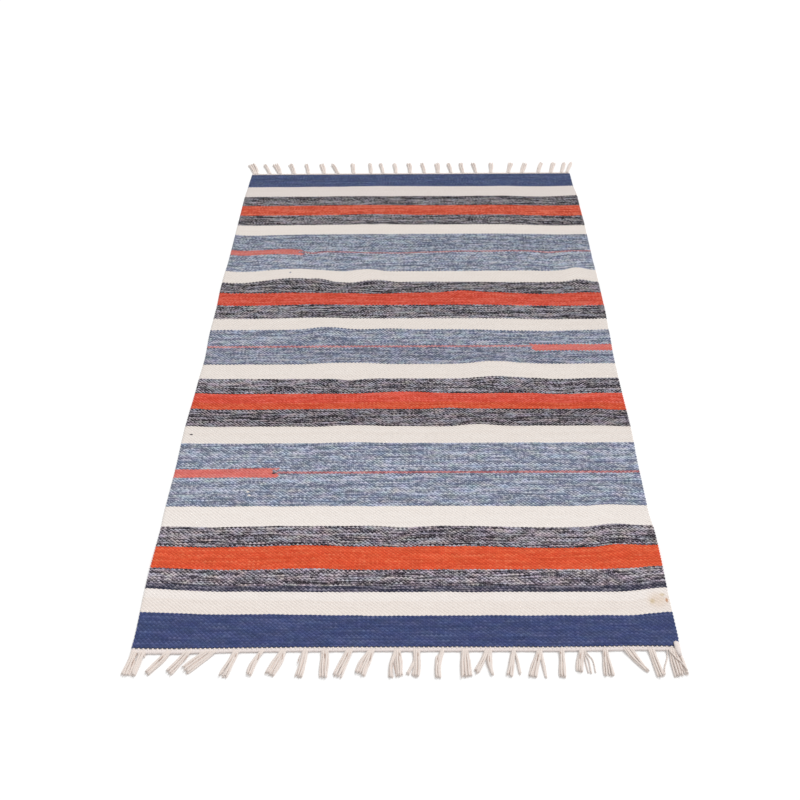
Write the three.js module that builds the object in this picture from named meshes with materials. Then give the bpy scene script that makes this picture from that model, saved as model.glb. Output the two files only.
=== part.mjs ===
// Flat-woven cotton kilim rug lying on a floor, with its warps plaited into a cord and let out as
// tassels at each end. Millimetres: +X across the rug, +Y along it to the far end, +Z up from the
// floor at z = 0.
import * as THREE from "three";

// The woven field
const fieldLength = 1803;
const clothThick = 5;
const cellsAcross = 24;
const cellsAlong = 40;

// Where the two selvedges run: distance from the rug's middle line at stations along it
const selvedges = [
  { y: -901.5, left: 603, right: 604 },
  { y: -780, left: 606.5, right: 603 },
  { y: -616, left: 606, right: 605 },
  { y: -560, left: 608, right: 601.5 },
  { y: -440, left: 607.5, right: 602.5 },
  { y: -300, left: 610.5, right: 606.5 },
  { y: -140, left: 607, right: 604.5 },
  { y: -40, left: 604.5, right: 605 },
  { y: 70, left: 609.5, right: 609 },
  { y: 170, left: 609, right: 612 },
  { y: 268, left: 612, right: 612 },
  { y: 320, left: 612, right: 611.5 },
  { y: 400, left: 609, right: 610.5 },
  { y: 600, left: 609.5, right: 611 },
  { y: 760, left: 610, right: 608 },
  { y: 840, left: 606.5, right: 601.5 },
  { y: 901.5, left: 604.5, right: 600.5 },
];

// Soft ripples that keep the cloth a few millimetres off the floor; the rest lies flat
const ripples = [
  { x: 600, y: -690, wide: 150, deep: 130, rise: 4 },
  { x: -610, y: -700, wide: 110, deep: 110, rise: 3 },
  { x: -270, y: -650, wide: 150, deep: 90, rise: 2.5 },
  { x: 270, y: -90, wide: 170, deep: 100, rise: 4 },
  { x: -250, y: 80, wide: 170, deep: 90, rise: 3 },
  { x: -385, y: 315, wide: 190, deep: 110, rise: 5 },
  { x: 200, y: 235, wide: 150, deep: 80, rise: 3 },
  { x: 540, y: 325, wide: 130, deep: 100, rise: 4 },
  { x: -110, y: 640, wide: 180, deep: 110, rise: 3 },
  { x: 590, y: 760, wide: 140, deep: 90, rise: 3 },
];

// The cord of plaited warps that closes each end: its section from the outer foot round to the
// inner one, as shares of its width and height
const seamGap = 0.3;
const cordWide = 8.6;
const cordHigh = 6;
const cordSection = [
  { out: 1, up: 0 },
  { out: 1, up: 0.55 },
  { out: 0.72, up: 1 },
  { out: 0.28, up: 1 },
  { out: 0, up: 0.55 },
  { out: 0, up: 0 },
];
const cordFacesUnderTassel = 2;

// A tassel's sections, from its gather to its tip. along: share of its length; high: its height
const tasselSections = [
  { along: 0.12, high: 8 },
  { along: 0.4, high: 7 },
  { along: 0.7, high: 5.5 },
  { along: 1, high: 4.5 },
];
const shoulderUp = 0.55;
const crownShare = 0.28;

// One row for each tassel, or for each lock of a split one. at: where it leaves the cord; gather
// and spread: its width there and at its tip; lean: how far the tip drifts across; bow: how far
// its middle bends; long: how far it reaches
const nearTassels = [
  { at: -592, gather: 14, lean: -7, bow: 1, spread: 17, long: 53 },
  { at: -576, gather: 12, lean: -4, bow: 0, spread: 14, long: 53 },
  { at: -524, gather: 11, lean: -27, bow: 3, spread: 13, long: 50 },
  { at: -479, gather: 13, lean: -27, bow: 3, spread: 18, long: 49 },
  { at: -432, gather: 26, lean: -38, bow: 3, spread: 22, long: 46 },
  { at: -370, gather: 14, lean: -20, bow: 3, spread: 16, long: 55 },
  { at: -314, gather: 12, lean: -18, bow: 3, spread: 14, long: 51 },
  { at: -270, gather: 13, lean: -20, bow: 4, spread: 20, long: 53 },
  { at: -219, gather: 14, lean: -9, bow: 3, spread: 19, long: 56 },
  { at: -175, gather: 15, lean: 3, bow: -3, spread: 14, long: 56 },
  { at: -124, gather: 14, lean: -20, bow: 4, spread: 23, long: 57 },
  { at: -72, gather: 13, lean: -19, bow: 5, spread: 18, long: 53 },
  { at: -27, gather: 10, lean: -5, bow: -3, spread: 15, long: 55 },
  { at: -15, gather: 10, lean: 5, bow: 0, spread: 14, long: 55 },
  { at: 24, gather: 14, lean: -5, bow: 3, spread: 28, long: 54 },
  { at: 81, gather: 12, lean: -8, bow: 0, spread: 14, long: 57 },
  { at: 129, gather: 14, lean: 4, bow: 0, spread: 24, long: 57 },
  { at: 175, gather: 10, lean: -21, bow: 2, spread: 13, long: 49 },
  { at: 187, gather: 10, lean: 2, bow: -3, spread: 13, long: 55 },
  { at: 232, gather: 10, lean: -5, bow: 1, spread: 16, long: 54 },
  { at: 243, gather: 8, lean: 6, bow: 2, spread: 9, long: 53 },
  { at: 292, gather: 10, lean: -17, bow: 2, spread: 16, long: 57 },
  { at: 303, gather: 8, lean: 3, bow: 2, spread: 8, long: 57 },
  { at: 343, gather: 11, lean: -4, bow: 1, spread: 14, long: 57 },
  { at: 383, gather: 10, lean: -7, bow: 1, spread: 15, long: 50 },
  { at: 395, gather: 9, lean: 9, bow: 2, spread: 15, long: 51 },
  { at: 438, gather: 12, lean: 4, bow: 1, spread: 19, long: 55 },
  { at: 488, gather: 13, lean: 30, bow: -3, spread: 11, long: 45 },
  { at: 537, gather: 14, lean: 12, bow: -3, spread: 22, long: 57 },
  { at: 575, gather: 12, lean: 4, bow: 0, spread: 17, long: 57 },
  { at: 590, gather: 12, lean: 12, bow: -2, spread: 13, long: 55 },
];
const farTassels = [
  { at: -590, gather: 20, lean: -24, bow: 4, spread: 26, long: 62 },
  { at: -537, gather: 12, lean: -27, bow: 3, spread: 14, long: 60 },
  { at: -499, gather: 16, lean: -25, bow: 3, spread: 24, long: 62 },
  { at: -445, gather: 16, lean: -20, bow: 2, spread: 19, long: 62 },
  { at: -391, gather: 13, lean: -14, bow: 1, spread: 15, long: 61 },
  { at: -330, gather: 15, lean: -16, bow: 2, spread: 19, long: 62 },
  { at: -279, gather: 14, lean: -24, bow: 2, spread: 15, long: 60 },
  { at: -219, gather: 14, lean: -7, bow: 0, spread: 15, long: 62 },
  { at: -153, gather: 12, lean: -7, bow: 1, spread: 14, long: 62 },
  { at: -107, gather: 12, lean: -12, bow: 1, spread: 15, long: 61 },
  { at: -58, gather: 13, lean: -7, bow: 0, spread: 15, long: 62 },
  { at: -4, gather: 12, lean: -6, bow: 1, spread: 18, long: 62 },
  { at: 50, gather: 13, lean: -9, bow: 2, spread: 15, long: 63 },
  { at: 102, gather: 13, lean: -3, bow: 0, spread: 19, long: 62 },
  { at: 152, gather: 11, lean: -10, bow: 1, spread: 15, long: 61 },
  { at: 196, gather: 13, lean: -6, bow: 0, spread: 17, long: 62 },
  { at: 246, gather: 12, lean: -9, bow: 2, spread: 18, long: 63 },
  { at: 303, gather: 12, lean: 4, bow: 0, spread: 17, long: 62 },
  { at: 369, gather: 14, lean: 14, bow: -1, spread: 17, long: 61 },
  { at: 421, gather: 16, lean: 15, bow: 0, spread: 19, long: 61 },
  { at: 482, gather: 14, lean: 17, bow: -1, spread: 16, long: 62 },
  { at: 531, gather: 14, lean: 17, bow: -2, spread: 18, long: 62 },
  { at: 571, gather: 12, lean: 17, bow: -2, spread: 15, long: 61 },
  { at: 591, gather: 11, lean: 24, bow: -2, spread: 13, long: 62 },
];

// A selvedge's distance from the middle line, eased from one station to the next
function selvedgeAt(side, y) {
  const next = Math.max(1, selvedges.findIndex((row) => row.y >= y - 1e-6));
  const from = selvedges[next - 1];
  const to = selvedges[next];
  const t = (y - from.y) / (to.y - from.y);
  return THREE.MathUtils.lerp(from[side], to[side], THREE.MathUtils.smoothstep(t, 0, 1));
}

// How far the underside stands off the floor
function liftAt(x, y) {
  let lift = 0;
  for (const { x: midX, y: midY, wide, deep, rise } of ripples) {
    const reach = Math.hypot((x - midX) / wide, (y - midY) / deep);
    if (reach < 1) lift += rise * Math.cos((reach * Math.PI) / 2) ** 2;
  }
  return lift;
}

// Side faces from one loop of vertex numbers to the next, leaving out any before firstFace
function skirt(index, from, to, firstFace = 0) {
  for (let i = firstFace; i < from.length; i++) {
    const next = (i + 1) % from.length;
    index.push(from[i], from[next], to[next], from[i], to[next], to[i]);
  }
}

function bodyOf(points, index) {
  const geometry = new THREE.BufferGeometry();
  geometry.setAttribute("position", new THREE.Float32BufferAttribute(points.flat(), 3));
  geometry.setIndex(index);
  return geometry;
}

// The cloth: an even sheet that follows its ripples, flat on the floor between them
function fieldGeometry() {
  const points = [];
  const index = [];
  const row = cellsAcross + 1;
  const ring = 2 * row;
  for (let j = 0; j <= cellsAlong; j++) {
    const y = (j / cellsAlong - 0.5) * fieldLength;
    const left = selvedgeAt("left", y);
    const right = selvedgeAt("right", y);
    const over = [];
    for (let i = 0; i <= cellsAcross; i++) {
      const x = THREE.MathUtils.lerp(-left, right, i / cellsAcross);
      over.push([x, y, liftAt(x, y) + clothThick]);
    }
    const under = over.map(([x, , z]) => [x, y, z - clothThick]).reverse();
    points.push(...over, ...under);
  }
  const loop = (j) => Array.from({ length: ring }, (_, i) => j * ring + i);
  for (let j = 0; j < cellsAlong; j++) skirt(index, loop(j), loop(j + 1));
  const last = loop(cellsAlong);
  for (let i = 0; i < cellsAcross; i++) {
    const below = ring - 1 - i;
    index.push(i, below, i + 1, i + 1, below, below - 1);
    const [a, b, c, d] = [i, i + 1, below - 1, below].map((k) => last[k]);
    index.push(a, b, d, b, c, d);
  }
  return bodyOf(points, index);
}

// One comb: the cord from selvedge to selvedge, with each tassel growing out of its outer side
function combGeometry(end, tassels) {
  const edge = (end * fieldLength) / 2;
  const points = [];
  const index = [];
  const add = (x, out, up) => points.push([x, edge + end * (seamGap + out), up]) - 1;
  const station = (x) => cordSection.map(({ out, up }) => add(x, out * cordWide, up * cordHigh));
  const cap = (loop) => {
    for (let i = 1; i + 1 < loop.length; i++) index.push(loop[0], loop[i], loop[i + 1]);
  };

  let here = station(-selvedgeAt("left", edge));
  cap([...here].reverse());
  const runTo = (x, firstFace) => {
    const there = station(x);
    skirt(index, here, there, firstFace);
    here = there;
  };
  for (const tassel of tassels) {
    runTo(tassel.at - tassel.gather / 2, 0);
    const left = here.slice(0, cordFacesUnderTassel + 1);
    runTo(tassel.at + tassel.gather / 2, cordFacesUnderTassel);
    const right = here.slice(0, cordFacesUnderTassel + 1);
    let loop = [...left, ...right.reverse()];
    for (const { along, high } of tasselSections) {
      const next = tasselLoop(tassel, along, high, add);
      skirt(index, loop, next);
      loop = next;
    }
    cap(loop);
  }
  runTo(selvedgeAt("right", edge), 0);
  cap(here);
  if (end < 0) index.reverse();
  return bodyOf(points, index);
}

// A tassel's section at one share of its length, from its left foot over its crown to its right
function tasselLoop({ at, gather, lean, bow, spread, long }, along, high, add) {
  const middle = at + lean * along + bow * Math.sin(Math.PI * along);
  const wide = THREE.MathUtils.lerp(gather, spread, along);
  const out = cordWide + long * along;
  return [
    add(middle - wide / 2, out, 0),
    add(middle - wide / 2, out, high * shoulderUp),
    add(middle - wide * crownShare, out, high),
    add(middle + wide * crownShare, out, high),
    add(middle + wide / 2, out, high * shoulderUp),
    add(middle + wide / 2, out, 0),
  ];
}

function piece(name, geometry, material) {
  geometry.computeVertexNormals();
  const mesh = new THREE.Mesh(geometry, material);
  mesh.name = name;
  return mesh;
}

const weftCotton = new THREE.MeshStandardMaterial({ color: 0x8d93a1, roughness: 0.95, metalness: 0 });
const warpCotton = new THREE.MeshStandardMaterial({ color: 0xe2d6ca, roughness: 0.95, metalness: 0 });

const rug = new THREE.Group();
rug.add(
  piece("rug_field", fieldGeometry(), weftCotton),
  piece("fringe_near", combGeometry(-1, nearTassels), warpCotton),
  piece("fringe_far", combGeometry(1, farTassels), warpCotton),
);

// The origin is the middle of the whole rug's footprint, on the floor
const footprint = new THREE.Box3().setFromObject(rug);
const centre = footprint.getCenter(new THREE.Vector3());
rug.position.set(-centre.x, -centre.y, -footprint.min.z);

export default rug;
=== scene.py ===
# Kilim rug: flat-woven striped cotton with plaited, tasselled ends, laid on a pale floor.
# Tables are in millimetres from the middle of the woven field; meshes are made in metres.
import math

import bpy
import numpy as np
from mathutils import Matrix, Vector


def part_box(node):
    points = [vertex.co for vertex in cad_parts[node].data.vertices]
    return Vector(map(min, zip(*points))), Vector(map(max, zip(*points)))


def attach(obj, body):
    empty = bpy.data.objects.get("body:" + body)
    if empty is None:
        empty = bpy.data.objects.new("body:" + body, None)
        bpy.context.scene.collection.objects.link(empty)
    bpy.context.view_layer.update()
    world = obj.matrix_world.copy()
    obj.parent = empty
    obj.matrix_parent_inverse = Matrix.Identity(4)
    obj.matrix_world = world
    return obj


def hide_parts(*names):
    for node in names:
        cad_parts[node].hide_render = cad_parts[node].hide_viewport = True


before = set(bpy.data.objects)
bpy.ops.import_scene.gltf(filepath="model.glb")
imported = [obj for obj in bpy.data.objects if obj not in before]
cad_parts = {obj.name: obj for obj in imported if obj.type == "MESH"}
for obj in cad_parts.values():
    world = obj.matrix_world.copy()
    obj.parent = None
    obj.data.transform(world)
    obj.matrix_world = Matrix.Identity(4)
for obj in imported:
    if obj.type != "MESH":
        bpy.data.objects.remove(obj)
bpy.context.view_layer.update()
fieldLow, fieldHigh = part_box("rug_field")
fieldMiddle = ((fieldLow[0] + fieldHigh[0]) / 2, (fieldLow[1] + fieldHigh[1]) / 2)
chance = np.random.default_rng(41)
print("frame loaded, field middle at", fieldMiddle)


def linearColour(hexText):
    # sRGB hex to linear, opaque
    values = [int(hexText[k : k + 2], 16) / 255 for k in (1, 3, 5)]
    return [v / 12.92 if v <= 0.04045 else ((v + 0.055) / 1.055) ** 2.4 for v in values] + [1.0]


def newMaterial(name, inputs):
    material = bpy.data.materials.new(name)
    material.use_nodes = True
    shader = material.node_tree.nodes["Principled BSDF"]
    for socket, value in inputs.items():
        shader.inputs[socket].default_value = value
    return material, material.node_tree, shader


def addNode(tree, kind, settings=None, links=None):
    node = tree.nodes.new("ShaderNode" + kind)
    for key, value in (settings or {}).items():
        setattr(node, key, value)
    for socket, value in (links or {}).items():
        if isinstance(value, bpy.types.Node):
            value = value.outputs[0]
        if isinstance(value, bpy.types.NodeSocket):
            tree.links.new(value, node.inputs[socket])
        else:
            node.inputs[socket].default_value = value
    return node


def ease(t):
    # 0 to 1 with a soft start and a soft stop
    return t * t * (3 - 2 * t)


def smoothNoise(x, y, seed):
    # Seeded value noise from -1 to 1, one cell per unit
    cells = 64
    grid = np.random.default_rng(seed).uniform(-1, 1, (cells, cells))
    column, row = np.floor(x).astype(int), np.floor(y).astype(int)
    tx, ty = ease(x - column), ease(y - row)
    left, right = column % cells, (column + 1) % cells
    low, high = row % cells, (row + 1) % cells
    a, b, c, d = grid[low, left], grid[low, right], grid[high, left], grid[high, right]
    return (a * (1 - tx) + b * tx) * (1 - ty) + (c * (1 - tx) + d * tx) * ty


def hump(x, y, rows):
    # Sum of soft round humps; each row is x, y, reach across, reach along, height
    total = np.zeros(np.broadcast(x, y).shape)
    for midX, midY, wide, deep, rise in rows:
        reach = np.hypot((x - midX) / wide, (y - midY) / deep)
        total += np.where(reach < 1, rise * np.cos(np.minimum(reach, 1) * np.pi / 2) ** 2, 0)
    return total


def meshPiece(name, points, faces, uvName, uvs, materials, slots=None, sharpBelow=0):
    # points in mm, one uv per face corner; edges between two points below sharpBelow stay sharp
    mesh = bpy.data.meshes.new(name)
    placed = np.asarray(points) / 1000 + np.array([fieldMiddle[0], fieldMiddle[1], 0])
    mesh.from_pydata(placed.tolist(), [], faces)
    layer = mesh.uv_layers.new(name=uvName)
    layer.data.foreach_set("uv", np.asarray(uvs, dtype=np.float32).ravel())
    for material in materials:
        mesh.materials.append(material)
    if slots is not None:
        mesh.polygons.foreach_set("material_index", np.asarray(slots, dtype=np.int32))
    mesh.polygons.foreach_set("use_smooth", np.ones(len(mesh.polygons), dtype=bool))
    if sharpBelow:
        ends = np.empty(len(mesh.edges) * 2, dtype=np.int32)
        mesh.edges.foreach_get("vertices", ends)
        sharp = (ends.reshape(-1, 2) < sharpBelow).all(axis=1)
        mesh.attributes.new("sharp_edge", "BOOLEAN", "EDGE").data.foreach_set("value", sharp)
    mesh.update()
    made = bpy.data.objects.new(name, mesh)
    bpy.context.collection.objects.link(made)
    return made


view = {
    "place": (0.0389, -1.4699, 1.5619),  # metres from the field's middle
    "pitch": 50.856,  # degrees down from level
    "yaw": -0.485,  # degrees
    "roll": -0.587,
    "lens": 32.133,  # mm
    "sensor": 36,
    "shift": (-0.023075, 0.000625),
    "clip": (0.05, 100),  # metres
}
light = {
    "skyFill": 0.58,  # strength of the sky where it only lights the rug
    "sunFrom": (0.55, 0.5, 1.0),
    "sunSpread": 34,  # degrees: as soft as a large softbox
    "sunPower": 1.6,
}
floorBoard = {
    "reach": 14,  # metres from the middle to each side
    "below": 0.0004,  # metres under the plane that the rug is laid on
    "white": "#FBFBFB",
    "shader": {"Roughness": 0.9, "Specular IOR Level": 0.0},
    "glow": 0.12,  # lifts the white that is seen to plain white, and lights nothing
}


def makeCamera():
    data = bpy.data.cameras.new("camera")
    data.lens, data.sensor_width = view["lens"], view["sensor"]
    data.shift_x, data.shift_y = view["shift"]
    data.clip_start, data.clip_end = view["clip"]
    pitch, yaw, roll = (math.radians(view[key]) for key in ("pitch", "yaw", "roll"))
    ahead = Vector((math.sin(yaw) * math.cos(pitch), math.cos(yaw) * math.cos(pitch), -math.sin(pitch)))
    levelRight = Vector((math.cos(yaw), -math.sin(yaw), 0))
    levelUp = levelRight.cross(ahead)
    right = math.cos(roll) * levelRight + math.sin(roll) * levelUp
    up = -math.sin(roll) * levelRight + math.cos(roll) * levelUp
    camera = bpy.data.objects.new("camera", data)
    turn = Matrix((right, up, -ahead)).transposed().to_4x4()
    x, y, z = view["place"]
    camera.matrix_world = Matrix.Translation((x + fieldMiddle[0], y + fieldMiddle[1], z)) @ turn
    bpy.context.collection.objects.link(camera)
    bpy.context.scene.camera = camera


def seenDirectly(tree):
    # 1 where the ray comes from the camera, a mirror or glass, 0 for light on its way round
    path = addNode(tree, "LightPath")
    mirror = addNode(
        tree,
        "Math",
        {"operation": "MAXIMUM"},
        {0: path.outputs["Is Glossy Ray"], 1: path.outputs["Is Transmission Ray"]},
    )
    return addNode(tree, "Math", {"operation": "MAXIMUM"}, {0: path.outputs["Is Camera Ray"], 1: mirror})


def makeSky():
    world = bpy.data.worlds.new("studio")
    world.use_nodes = True
    tree = world.node_tree
    tree.nodes.clear()
    strength = addNode(
        tree, "MapRange", {}, {"Value": seenDirectly(tree), "To Min": light["skyFill"], "To Max": 1.0}
    )
    sky = addNode(tree, "Background", {}, {"Color": (1, 1, 1, 1), "Strength": strength})
    addNode(tree, "OutputWorld", {}, {"Surface": sky})
    bpy.context.scene.world = world


def makeSun():
    data = bpy.data.lights.new("soft_sun", "SUN")
    data.energy, data.angle = light["sunPower"], math.radians(light["sunSpread"])
    lamp = bpy.data.objects.new("soft_sun", data)
    lamp.location = light["sunFrom"]
    lamp.rotation_euler = (-Vector(light["sunFrom"])).to_track_quat("-Z", "Y").to_euler()
    bpy.context.collection.objects.link(lamp)


def makeFloor():
    # Matt white painted board: plain white, keeping only the soft contact shadow
    material, tree, shader = newMaterial("painted_white_floor", floorBoard["shader"])
    shader.inputs["Base Color"].default_value = linearColour(floorBoard["white"])
    glow = addNode(tree, "Math", {"operation": "MULTIPLY"}, {0: seenDirectly(tree), 1: floorBoard["glow"]})
    shader.inputs["Emission Color"].default_value = (1, 1, 1, 1)
    tree.links.new(glow.outputs[0], shader.inputs["Emission Strength"])
    mesh = bpy.data.meshes.new("floor")
    reach, below = floorBoard["reach"], floorBoard["below"]
    corners = [(x * reach, y * reach, -below) for x, y in ((-1, -1), (1, -1), (1, 1), (-1, 1))]
    mesh.from_pydata(corners, [], [(0, 1, 2, 3)])
    mesh.materials.append(material)
    floor = bpy.data.objects.new("floor", mesh)
    bpy.context.collection.objects.link(floor)


makeCamera()
makeSky()
makeSun()
makeFloor()
bpy.context.scene.view_settings.view_transform = "Standard"
print("camera, floor and light made")

# Thick soft-spun cotton weft, beaten down until the warps are hidden: matt, fibrous, faintly streaky.
# shades: dark, middle and light plies. plyAndShade: how much the two twisted plies differ, and with them the
# painted light and shade of a float's far and near halves. streak: how far the shade drifts along a pick,
# over streakLong mm. pickTone: from pick to pick. fleck: from float to float.
# marl: inside a float. crease: how much light is left between floats. uneven: how much more of all that
# there is by the far end. hue: how far the hue wanders. lotsAndFalloff: from a pick on, a tint for the dye
# lot and for a painted fall-off of light towards the far end
yarns = {
    "navy": {
        "material": "navy_dyed_cotton_weft",  # reactive-dyed singles: deep and even, a few pale fibres
        "shades": ("#323D64", "#435078", "#657196"),
        "plyAndShade": 0.2, "streak": 0.5, "streakLong": 150, "pickTone": 0.12, "fleck": 0.2, "marl": 0.5,
        "crease": 0.8, "uneven": 0.3, "hue": 0.3,
        "lotsAndFalloff": ((0, "#FCF6FF"), (460, "#FFFFFA")),
    },
    "cream": {
        "material": "undyed_cotton_weft",  # undyed singles: warm white, hardly any shade difference
        "shades": ("#ECE2DB", "#F4ECE7", "#FAF5F1"),
        "plyAndShade": 0.1, "streak": 0.25, "streakLong": 60, "pickTone": 0.15, "fleck": 0.1, "marl": 0.2,
        "crease": 0.96, "uneven": 0, "hue": 0,
        "lotsAndFalloff": (
            (0, "#FBF9F7"), (27, "#FFFFFF"), (80, "#FDFDFC"), (147, "#F7F6F4"), (250, "#F5F4F2"),
            (440, "#EDEBEB"),
        ),
    },
    "orange": {
        "material": "orange_dyed_cotton_weft",  # dyed singles: bright, slightly uneven uptake
        "shades": ("#CD452C", "#E55940", "#F27B62"),
        "plyAndShade": 0.2, "streak": 0.5, "streakLong": 180, "pickTone": 0.12, "fleck": 0.22, "marl": 0.5,
        "crease": 0.84, "uneven": 2, "hue": 0.2,
        "lotsAndFalloff": ((0, "#FFFFDC"), (170, "#F2F3DC"), (183, "#F8F0FF"), (290, "#EFE7F0"), (400, "#EDF6F2")),
    },
    "charcoal": {
        "material": "charcoal_marl_cotton_weft",  # black and ecru plies: salt-and-pepper dashes
        "shades": ("#211C25", "#79707B", "#D3CAD2"),
        "plyAndShade": 0.38, "streak": 0.46, "streakLong": 250, "pickTone": 0.08, "fleck": 0.27, "marl": 0.76,
        "crease": 0.66, "uneven": 5.6, "hue": 0.4,
        "lotsAndFalloff": (
            (0, "#FFFFFF"), (60, "#F0F0F0"), (160, "#D5D5D6"), (190, "#E5E7E8"), (270, "#DEE1E1"),
            (300, "#D1D3D2"), (425, "#C7CACA"),
        ),
    },
    "indigo": {
        "material": "indigo_marl_cotton_weft",  # navy, black and ecru plies: the darker first picks
        "shades": ("#25263A", "#4B495A", "#928D9C"),
        "plyAndShade": 0.5, "streak": 0.9, "streakLong": 170, "pickTone": 0.12, "fleck": 0.35, "marl": 0.7,
        "crease": 0.75, "uneven": 0, "hue": 0.3,
        "lotsAndFalloff": ((0, "#FFFFFF"), (479, "#FFFFFF")),  # one lot, but a ramp has at least two stops
    },
    "denim": {
        "material": "denim_marl_cotton_weft",  # grey-blue and ecru plies: softer dashes than charcoal
        "shades": ("#636A81", "#959BAE", "#CDD2E0"),
        "plyAndShade": 0.4, "streak": 0.68, "streakLong": 250, "pickTone": 0.14, "fleck": 0.36, "marl": 1.05,
        "crease": 0.72, "uneven": 2.4, "hue": 0.36,
        "lotsAndFalloff": ((0, "#FEFFFF"), (220, "#E3E2E4"), (242, "#F1F1F1"), (330, "#F6F7F6"), (360, "#E7EAEA")),
    },
    "brick": {
        "material": "brick_dyed_cotton_weft",  # softer, pinker red than the orange
        "shades": ("#C9605A", "#DE7870", "#EC9B93"),
        "plyAndShade": 0.25, "streak": 0.4, "streakLong": 50, "pickTone": 0.15, "fleck": 0.2, "marl": 0.3,
        "crease": 0.88, "uneven": 0, "hue": 0.2,
        "lotsAndFalloff": ((0, "#FFFFFF"), (230, "#F8FAFA"), (345, "#EDFAFA")),
    },
    "rose": {
        "material": "rose_marl_cotton_weft",  # thin red and grey plies: a soft broken line through the denim
        "shades": ("#8E545D", "#C68386", "#E6B0AE"),
        "plyAndShade": 0.4, "streak": 0.5, "streakLong": 90, "pickTone": 0.2, "fleck": 0.5, "marl": 0.9,
        "crease": 0.78, "uneven": 0, "hue": 0.2,
        "lotsAndFalloff": ((0, "#FFFFFF"), (200, "#F6F5F8"), (300, "#EBFAFC")),
    },
}
# Something yellow was once spilt by the near right corner: in each row the middle and the reach, both in
# warps and picks, then the colour and how strong it is
stains = (
    (224.9, 26.4, 6.5, 7.0, "#F1DFC8", 0.45),
    (222.4, 25.5, 1.7, 2.2, "#DED4A8", 0.55),
    (227.3, 29.2, 1.7, 1.3, "#DDD0AA", 0.6),
    (228.8, 25.6, 0.9, 2.1, "#D09C6E", 0.85),
)
weftFinish = {
    "warpPitch": 5.22,  # mm between warps: one float of weft spans two
    "countedPicks": 480,  # the tints for lots and fall-off, and unevenness, are shares of this many picks
    "shadeStops": (0.12, 0.5, 0.88),  # where the dark, middle and light plies stand
    "streakStep": 7.31,  # each pick has its own streaks
    "twistDrift": (0.06, 3.17, 1),  # the plies keep their place on the pick for about sixteen warps
    "twistTurns": 9,  # radians
    "twistLean": 0.5,
    "marlGrain": (1.7, 2.8, 1),  # per warp and pick
    "marlStep": (11.7, 23.1, 1),  # each float has its own marl
    "hueGrain": (0.14, 0.25, 1),  # one change of hue takes about seven warps or four picks
    "hueGreen": 0.2,  # green wanders less than red and blue
    "creaseFrom": 0.32,  # a float's middle is 0 and its edge 0.5
    "stainCore": 0.2,  # share of a stain's reach that is fully stained
    "fibreGrain": (1.1, 6, 1),  # drawn coarser than the real 0.02 mm fibres so that they show
    "fibreStrength": 0.6,
    "fibreDepth": 0.00022,  # metres
    "shader": {"Roughness": 0.95, "Specular IOR Level": 0.2, "Sheen Weight": 0.1},
}


def floatPlace(tree, place):
    # The weave map counts warps across and picks along; a float is a diamond two of each wide
    parts = addNode(tree, "SeparateXYZ", {}, {0: place})
    across, along = parts.outputs[0], parts.outputs[1]
    total = addNode(tree, "Math", {"operation": "ADD"}, {0: across, 1: along})
    split = addNode(tree, "Math", {"operation": "SUBTRACT"}, {0: across, 1: along})
    halfTotal = addNode(tree, "Math", {"operation": "MULTIPLY"}, {0: total, 1: 0.5})
    halfSplit = addNode(tree, "Math", {"operation": "MULTIPLY"}, {0: split, 1: 0.5})
    nearTotal = addNode(tree, "Math", {"operation": "ROUND"}, {0: halfTotal})
    nearSplit = addNode(tree, "Math", {"operation": "ROUND"}, {0: halfSplit})
    warp = addNode(tree, "Math", {"operation": "ADD"}, {0: nearTotal, 1: nearSplit})
    pick = addNode(tree, "Math", {"operation": "SUBTRACT"}, {0: nearTotal, 1: nearSplit})
    offTotal = addNode(tree, "Math", {"operation": "SUBTRACT"}, {0: halfTotal, 1: nearTotal})
    offSplit = addNode(tree, "Math", {"operation": "SUBTRACT"}, {0: halfSplit, 1: nearSplit})
    return warp, pick, offTotal, offSplit


def addStains(tree, place, dyed):
    for warpMiddle, pickMiddle, warpReach, pickReach, hexText, strong in stains:
        off = addNode(
            tree, "VectorMath", {"operation": "SUBTRACT"}, {0: place, 1: (warpMiddle, pickMiddle, 0)}
        )
        off = addNode(tree, "VectorMath", {"operation": "DIVIDE"}, {0: off, 1: (warpReach, pickReach, 1)})
        reach = addNode(tree, "VectorMath", {"operation": "LENGTH"}, {0: off}).outputs["Value"]
        wet = addNode(
            tree,
            "MapRange",
            {"interpolation_type": "SMOOTHSTEP"},
            {
                "Value": reach,
                "From Min": weftFinish["stainCore"],
                "From Max": 1.0,
                "To Min": strong,
                "To Max": 0.0,
            },
        )
        dyed = addNode(
            tree,
            "Mix",
            {"data_type": "RGBA", "blend_type": "MULTIPLY"},
            {0: wet, 6: dyed, 7: linearColour(hexText)},
        ).outputs[2]
    return dyed


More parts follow.
